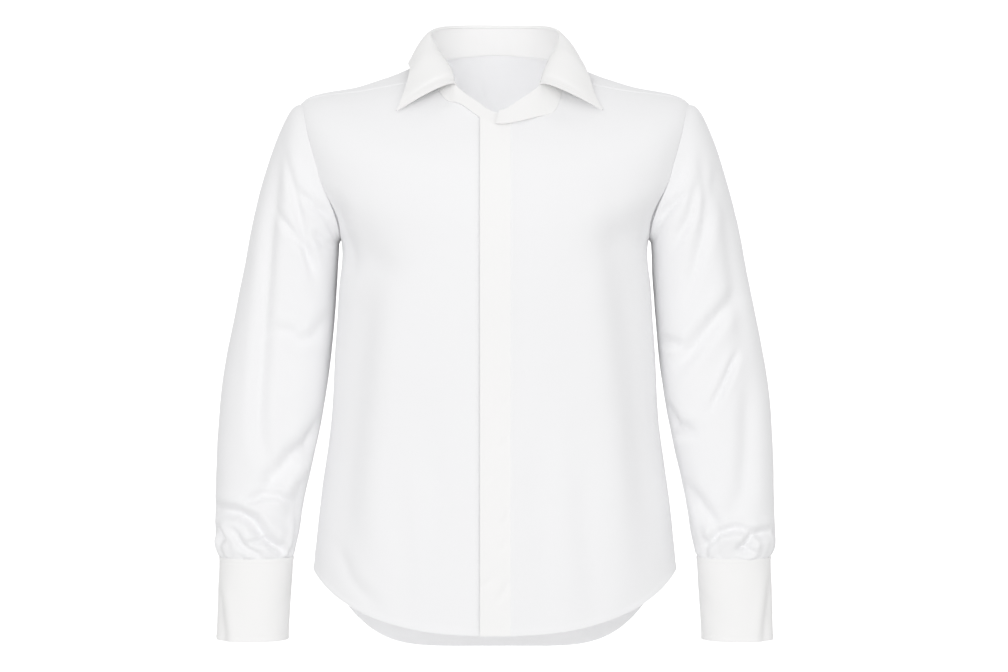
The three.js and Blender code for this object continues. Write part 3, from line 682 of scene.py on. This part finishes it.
a, b = by_rise(rises, -panel_edge(rises, 1), angle_at_x(UNDER_EDGE, rises), shares)
right_front = cloth("shirt_right_front", body, a, b, lift=under_fly, creases=BODY_CREASES,
                    edges={"left": "seam", "start": "hem", "end": "seam"})
a, b = by_rise(rises, angle_at_x(FLY_SEAM, rises), panel_edge(rises, 1), shares)
left_front = cloth("shirt_left_front", body, a, b, lift=beside_fly, creases=BODY_CREASES,
                   edges={"left": "felled", "right": "seam", "start": "hem", "end": "seam"})


# %% Fly
def fly_lift(a, b):
    return FLY_LIFT + FLY_WALL - 0.5 * ease(body(a, b)[:, 0], 6, FLY_SEAM)


fly_columns = near_ends(0, 1, 24, 0.5)
a, b = by_rise(rises, angle_at_x(FLY_EDGE, rises), angle_at_x(FLY_SEAM + 0.6, rises), fly_columns)
fly = cloth("shirt_fly_placket", body, a, b, lift=fly_lift, wall=1.2, creases=FLY_CREASES,
            edges={"left": "fold", "start": "hem"}, material=fused_poplin)

# %% Back and yoke
back_rises = rises[rises <= YOKE_RISE + 0.01]
yoke_rises = rises[rises >= YOKE_RISE - 0.01]
a, b = by_rise(back_rises, panel_edge(back_rises, -1), 360 - panel_edge(back_rises, -1), wide_shares)
back = cloth("shirt_back", body, a, b, creases=BODY_CREASES,
             edges={"left": "seam", "right": "seam", "start": "hem", "end": "seam"})
a, b = by_rise(yoke_rises, panel_edge(yoke_rises, -1), 360 - panel_edge(yoke_rises, -1), wide_shares)
yoke = cloth("shirt_yoke", body, a, b,
             edges={"left": "felled", "right": "felled", "start": "felled", "end": "seam"})


# %% [markdown]
# ## Collar
# The band stands up from the neck seam. The leaf is sewn to its top edge, stands up a little and
# falls over it, and its two points spread wide because the top button is open. The wearer's left
# end of the band lies over the right end.

# %% Band and leaf
BAND_LEFT_END, BAND_RIGHT_END = 0.5, 366.0
BAND_TURN_IN = -0.06           # the band reaches this share of its height below the neck seam


def band_lap(a, b):
    return 3.2 * (1 - ease(a, 12, 34)) - 0.6 * ease(a, 338, 352) + 1.8


angles = near_ends(BAND_LEFT_END, BAND_RIGHT_END, 220, 0.5)
a, b = np.meshgrid(angles, near_ends(BAND_TURN_IN, 1, 24, 0.5))
stand = cloth("shirt_collar_stand", band, a, b, lift=band_lap, wall=1.5, step_b=0.01, uneven=0.2,
              edges={"left": "edge", "right": "edge"}, material=fused_poplin)
angles = near_ends(LEAF_START, 360 - LEAF_START, 220)
a, b = np.meshgrid(angles, near_ends(0, 1, 44, 0.6))
collar_leaf = cloth("shirt_collar_leaf", leaf, a, b, facing=-1, wall=1.5, step_b=0.01, uneven=0.4,
                    edges={"left": "edge", "right": "edge", "end": "edge"}, material=fused_poplin)

# %% [markdown]
# ## Sleeves and cuffs
# A sleeve is a tube from the armhole to the cuff, wider at the elbow. Just above the cuff the
# spare width is taken up in small tucks. The cuff is a stiff band round the wrist, lapped on the
# outer side and closed by two buttons. A placket strip finishes the slit above it.

# %% Sleeve pieces
def tucks(side):
    def shape(places, normals, turn, along):
        near_cuff = ease(along, SLEEVE_END - 60, SLEEVE_END - 12)
        ripple = 0.9 * np.sin(np.radians(turn) * 11 + 2 * side) + 0.7 * np.sin(np.radians(turn) * 17 + 1)
        before_seam = 1 - ease(along, SLEEVE_END - 3, SLEEVE_END)
        return places + normals * (near_cuff * ripple * before_seam)[:, None]
    return shape


CUFF_UNDER, CUFF_OVER, CUFF_LIFT, CUFF_LAP = -42, 352, 1.8, 270
SLEEVE_TUCKED = 4              # length of sleeve held inside the cuff
PLACKET_TURN, PLACKET_WIDE, PLACKET_TOP, PLACKET_END = 330, 24, 372, 508


def cuff_lift(a, b):
    return CUFF_LIFT * ease(a, CUFF_LAP, CUFF_LAP + 42)


def placket_grid():
    along = near_ends(PLACKET_TOP, PLACKET_END, 50, 0.5)
    ones = np.ones(len(along))
    one_turn_on = sleeve((PLACKET_TURN + 1) * ones, along)
    step = np.linalg.norm(one_turn_on - sleeve(PLACKET_TURN * ones, along), axis=1)
    half = PLACKET_WIDE / 2 / step * (0.25 + 0.75 * ease(along, PLACKET_TOP - 4, PLACKET_TOP + 11))
    return by_rise(along, PLACKET_TURN - half, PLACKET_TURN + half, near_ends(0, 1, 16, 0.4))


sleeves, cuffs, plackets = [], [], []
for word, side in (("left", 1), ("right", -1)):
    turns, alongs = np.linspace(0, 360, 161), near_ends(0, SLEEVE_END + SLEEVE_TUCKED, 250, 0.5)
    a, b = np.meshgrid(turns, alongs)
    sleeves.append(cloth(f"shirt_sleeve_{word}", sleeve, a, b, side=side, creases=SLEEVE_CREASES,
                         lift=lambda a, b: -0.7 * ease(b, SLEEVE_END - 2, SLEEVE_END + 1), tube=True,
                         edges={"start": "seam"}, shape=tucks(side)))
    a, b = np.meshgrid(near_ends(CUFF_UNDER, CUFF_OVER, 150, 0.6), near_ends(0, CUFF_TALL, 50, 0.7))
    cuffs.append(cloth(f"shirt_cuff_{word}", cuff, a, b, side=side, lift=cuff_lift, wall=1.5, uneven=0.5,
                      creases=CUFF_CREASES,
                       edges={"start": "edge", "end": "edge", "left": "edge", "right": "edge"},
                       material=fused_poplin))
    a, b = placket_grid()
    plackets.append(cloth(f"shirt_sleeve_placket_{word}", sleeve, a, b, side=side,
                          lift=lambda a, b: np.full(len(a), 2.4), wall=1.2, creases=SLEEVE_CREASES,
                          edges={"left": "edge", "right": "edge"}, shape=tucks(side), material=fused_poplin))

# %% [markdown]
# ## Buttons
# A shirt button is a small turned disc with a raised rim and four holes, cast from polyester with a pearly
# shine. Here half of its outline is spun round into a plain disc; the holes are not made.

# %% Button material
button_material, tree = new_material("cast_polyester_button")
marble = add(tree, "ShaderNodeTexNoise", {"Scale": 400.0, "Detail": 4.0, "Distortion": 1.5},
             {"Vector": add(tree, "ShaderNodeTexCoord").outputs["Object"]})
pearl = add(tree, "ShaderNodeMix", {"data_type": "RGBA", "A": linear("#efece4"), "B": linear("#fbfaf6")},
            {"Factor": marble.outputs["Fac"]})
shine = add(tree, "ShaderNodeBsdfPrincipled", {"Roughness": 0.22, "IOR": 1.54, "Coat Weight": 0.3},
            {"Base Color": pearl.outputs["Result"]})
out = add(tree, "ShaderNodeOutputMaterial")
tree.links.new(shine.outputs["BSDF"], out.inputs["Surface"])


# %% Button pieces
def button(name, node, place, normal):
    bm = bmesh.new()
    outline = [(0, 1.1), (2.6, 1.1), (3.4, 1.5), (4.6, 2.0), (5.3, 1.7), (5.5, 1.0), (4.9, 0.2), (0, 0.0)]
    verts = [bm.verts.new((r * MM, 0, h * MM)) for r, h in outline]
    edges = [bm.edges.new(pair) for pair in zip(verts, verts[1:])]
    bmesh.ops.spin(bm, geom=verts + edges, axis=(0, 0, 1), cent=(0, 0, 0), angle=2 * math.pi, steps=40,
                   use_merge=True)
    bmesh.ops.remove_doubles(bm, verts=bm.verts, dist=1e-6)
    bmesh.ops.recalc_face_normals(bm, faces=bm.faces)
    turn = Vector((0, 0, 1)).rotation_difference(Vector(normal)).to_matrix().to_4x4()
    bmesh.ops.transform(bm, matrix=turn, verts=bm.verts)
    bmesh.ops.translate(bm, vec=Vector(place) * MM, verts=bm.verts)
    mesh = bpy.data.meshes.new(name)
    bm.to_mesh(mesh)
    bm.free()
    mesh.shade_smooth()
    mesh.materials.append(button_material)
    piece = bpy.data.objects.new(name, mesh)
    bpy.context.collection.objects.link(piece)
    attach(piece, "root")
    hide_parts(node)
    return piece


for word, side in (("left", 1), ("right", -1)):
    for at, along in (("upper", 30.0), ("lower", 70.0)):
        turn, height = np.array([335.0]), np.array([along])
        place = cuff(turn, height)[0] * (side, 1, 1)
        normal = normals_of(cuff, turn, height, 0.25, 0.4)[0] * (side, 1, 1)
        node = f"cuff_button_{word}_{at}"
        button("shirt_" + node, node, place + normal * 3.1, normal)
for number in range(1, 7):
    low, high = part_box(f"front_button_{number}")
    place = (Vector(low) + Vector(high)) / 2 / MM
    button(f"shirt_front_button_{number}", f"front_button_{number}", place + Vector((0, 1, 0)), (0, -1, 0))
print("buttons: 4 on the cuffs, 6 under the fly")

# %% [markdown]
# ## What each piece is
# A table lists each piece with the solid it replaces, a finish and the size of its cut; the loop below only
# uses it to hide those solids. Width and length are the longest runs of the built cloth, without seam
# allowances. The areas of the shaped pieces are estimates, except the band's, which is the area it was built
# with.

SHEETS = [  # piece, node, slot, width, length, area
    (right_front, "right_front", "shirting", 0.31, 0.795, 0.175),
    (left_front, "left_front", "shirting", 0.28, 0.79, 0.150),
    (fly, "fly_placket", "collar_cloth", 0.036, 0.617, None),
    (back, "back", "shirting", 0.635, 0.665, 0.325),
    (yoke, "yoke", "shirting", 0.64, 0.236, 0.075),
    (stand, "collar_stand", "collar_cloth", 0.63, 0.053, 0.018),
    (collar_leaf, "collar_leaf", "collar_cloth", 0.54, 0.09, 0.028),
    (sleeves[0], "sleeve_left", "shirting", 0.50, 0.597, 0.185),
    (sleeves[1], "sleeve_right", "shirting", 0.50, 0.597, 0.185),
    (cuffs[0], "cuff_left", "collar_cloth", 0.282, 0.099, None),
    (cuffs[1], "cuff_right", "collar_cloth", 0.282, 0.099, None),
    (plackets[0], "sleeve_placket_left", "collar_cloth", 0.026, 0.141, None),
    (plackets[1], "sleeve_placket_right", "collar_cloth", 0.026, 0.141, None),
]
for piece, node, finish, width, length, area in SHEETS:
    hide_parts(node)

# %% [markdown]
# ## Stage and light
# White cloth on white needs broad light with a little direction, or its folds disappear. The sky is
# bright in front and behind, and darker at both sides, as if black flags stood there, which draws
# the edges of the sleeves and the body. It is also darker below and overhead. Two broad lamps in
# front, a strong and a weak one, give the folds their shade. Two small lamps inside the shirt light
# the inner yoke and the inside of the tail. The sweep glows a little and throws no light on the
# cloth.

# %% Stage
FLOOR_Z = -0.80
bm = bmesh.new()
NEAR_EDGE, CURVE_START, CURVE_RADIUS, WALL_TOP = -3.5, 2.8, 1.0, 3.5
profile = [(NEAR_EDGE, FLOOR_Z), (CURVE_START, FLOOR_Z)]
for t in np.linspace(0.1, math.pi / 2, 12):
    profile.append((CURVE_START + CURVE_RADIUS * math.sin(t),
                    FLOOR_Z + CURVE_RADIUS - CURVE_RADIUS * math.cos(t)))
profile.append((CURVE_START + CURVE_RADIUS, WALL_TOP))
verts = [bm.verts.new((-5, y, z)) for y, z in profile]
edges = [bm.edges.new(pair) for pair in zip(verts, verts[1:])]
grown = bmesh.ops.extrude_edge_only(bm, edges=edges)["geom"]
bmesh.ops.translate(bm, vec=(10, 0, 0), verts=[v for v in grown if isinstance(v, bmesh.types.BMVert)])
mesh = bpy.data.meshes.new("sweep")
bm.to_mesh(mesh)
bm.free()
mesh.shade_smooth()
sweep = bpy.data.objects.new("sweep", mesh)
bpy.context.collection.objects.link(sweep)
sweep_material, tree = new_material("white_painted_sweep")
paint = add(tree, "ShaderNodeBsdfPrincipled",
            {"Base Color": linear("#ffffff"), "Roughness": 0.9, "Emission Color": linear("#ffffff"),
             "Emission Strength": 0.6})
out = add(tree, "ShaderNodeOutputMaterial")
tree.links.new(paint.outputs["BSDF"], out.inputs["Surface"])
mesh.materials.append(sweep_material)
sweep.visible_diffuse = False

# %% Light
world = bpy.data.worlds.new("studio")
world.use_nodes = True
tree = world.node_tree
coordinates = add(tree, "ShaderNodeTexCoord")
sky = add(tree, "ShaderNodeSeparateXYZ", links={"Vector": coordinates.outputs["Generated"]})
sideways = add(tree, "ShaderNodeMath", {"operation": "ABSOLUTE"}, {0: sky.outputs["X"]})


def brightness(source, start, end, low, high):
    """A smooth change of the sky's brightness from low to high as source goes from start to end."""
    return add(tree, "ShaderNodeMapRange",
               {"interpolation_type": "SMOOTHSTEP", "From Min": start, "From Max": end,
                "To Min": low, "To Max": high}, {"Value": source}).outputs["Result"]


def product(first, second):
    return add(tree, "ShaderNodeMath", {"operation": "MULTIPLY"}, {0: first, 1: second}).outputs[0]


flags = brightness(sideways.outputs[0], 0.45, 0.95, 0.99, 0.6)
below = brightness(sky.outputs["Z"], -0.9, 0.1, 0.62, 1.0)
above = brightness(sky.outputs["Z"], 0.1, 0.9, 1.06, 0.78)
soft = product(flags, product(above, below))
tree.links.new(soft, tree.nodes["Background"].inputs["Strength"])
tree.nodes["Background"].inputs["Color"].default_value = linear("#ffffff")
bpy.context.scene.world = world


def area_light(name, place, aim, size, power):
    data = bpy.data.lights.new(name, "AREA")
    data.shape, data.size, data.energy = "DISK", size, power
    lamp = bpy.data.objects.new(name, data)
    lamp.location = place
    lamp.rotation_euler = (Vector(aim) - Vector(place)).to_track_quat("-Z", "Y").to_euler()
    bpy.context.collection.objects.link(lamp)


area_light("key", (-0.6, -3.0, 0.1), (0, 0, -0.3), 1.0, 13)
area_light("fill", (1.2, -2.6, 0.4), (0, 0, -0.3), 1.6, 3)
area_light("inside", (0, -0.02, -0.26), (0, 0.07, 0.02), 0.12, 0.19)
area_light("inside_tail", (0, -0.02, -0.46), (0, 0.09, -0.66), 0.12, 0.13)
print("stage and lights ready")
